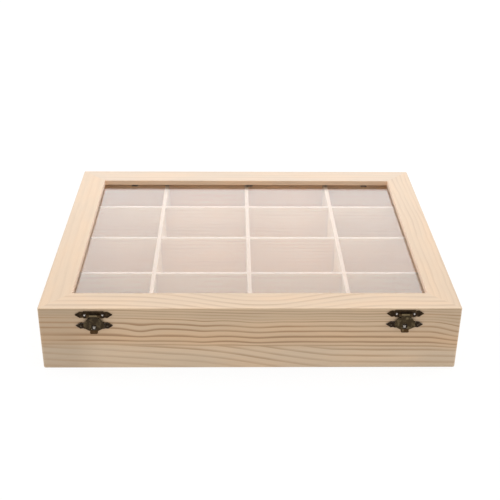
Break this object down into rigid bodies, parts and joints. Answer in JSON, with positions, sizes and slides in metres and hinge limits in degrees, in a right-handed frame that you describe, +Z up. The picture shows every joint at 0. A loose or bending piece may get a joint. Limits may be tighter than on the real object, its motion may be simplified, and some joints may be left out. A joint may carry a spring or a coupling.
{
  "type": "stone display case",
  "caption": "Shallow pine box for stones: a hinged lid with a glass pane over a grid of small compartments, closed at the front by little bronze latches.",
  "frame": {"origin": "centre of the underside of the case", "axes": "+X to the right along the long front board, +Y from the front with the latches to the back with the hinges, +Z up"},
  "size_m": [0.301, 0.2508, 0.051],
  "materials": {
    "pine": "bare sanded pine with fine long grain",
    "slat_pine": "bare sanded pine, thin slats",
    "floor_board": "bare thin board",
    "glass": "clear polished pane with ground arrises",
    "antique_bronze": "dark antique bronze, rubbed bright on its edges",
    "dark_steel": "dark oxidised spring steel"
  },
  "bodies": {
    "case": {"front_wall": "pine", "back_wall": "pine", "left_wall": "pine", "right_wall": "pine", "floor_panel": "floor_board", "cross_slat_1": "slat_pine", "cross_slat_2": "slat_pine", "cross_slat_3": "slat_pine", "depth_slat_1": "slat_pine", "depth_slat_2": "slat_pine", "depth_slat_3": "slat_pine", "catch_plate_left": "antique_bronze", "catch_plate_right": "antique_bronze", "hinge_case_leaf_left": "antique_bronze", "hinge_case_leaf_right": "antique_bronze", "hinge_pin_left": "antique_bronze", "hinge_pin_right": "antique_bronze", "case_nails": "antique_bronze"},
    "lid": {"lid_front_strip": "pine", "lid_back_strip": "pine", "lid_left_strip": "pine", "lid_right_strip": "pine", "top_rail_front": "pine", "top_rail_back": "pine", "top_rail_left": "pine", "top_rail_right": "pine", "glass_pane": "glass", "glass_clips": "dark_steel", "clip_tacks": "dark_steel", "latch_plate_left": "antique_bronze", "latch_plate_right": "antique_bronze", "latch_pin_left": "antique_bronze", "latch_pin_right": "antique_bronze", "hinge_lid_leaf_left": "antique_bronze", "hinge_lid_leaf_right": "antique_bronze", "lid_nails": "antique_bronze"},
    "flap_left": {"latch_flap_left": "antique_bronze"},
    "flap_right": {"latch_flap_right": "antique_bronze"}
  },
  "joints": [
    {"name": "lid_hinge", "type": "hinge", "parent": "case", "child": "lid", "pos_m": [0, 0.1223, 0.041], "axis": [-1, 0, 0], "range_deg": [0, 105]},
    {"name": "latch_left", "type": "hinge", "parent": "lid", "child": "flap_left", "pos_m": [-0.1111, -0.12205, 0.04545], "axis": [-1, 0, 0], "range_deg": [0, 160]},
    {"name": "latch_right", "type": "hinge", "parent": "lid", "child": "flap_right", "pos_m": [0.11, -0.12205, 0.04635], "axis": [-1, 0, 0], "range_deg": [0, 160]}
  ]
}
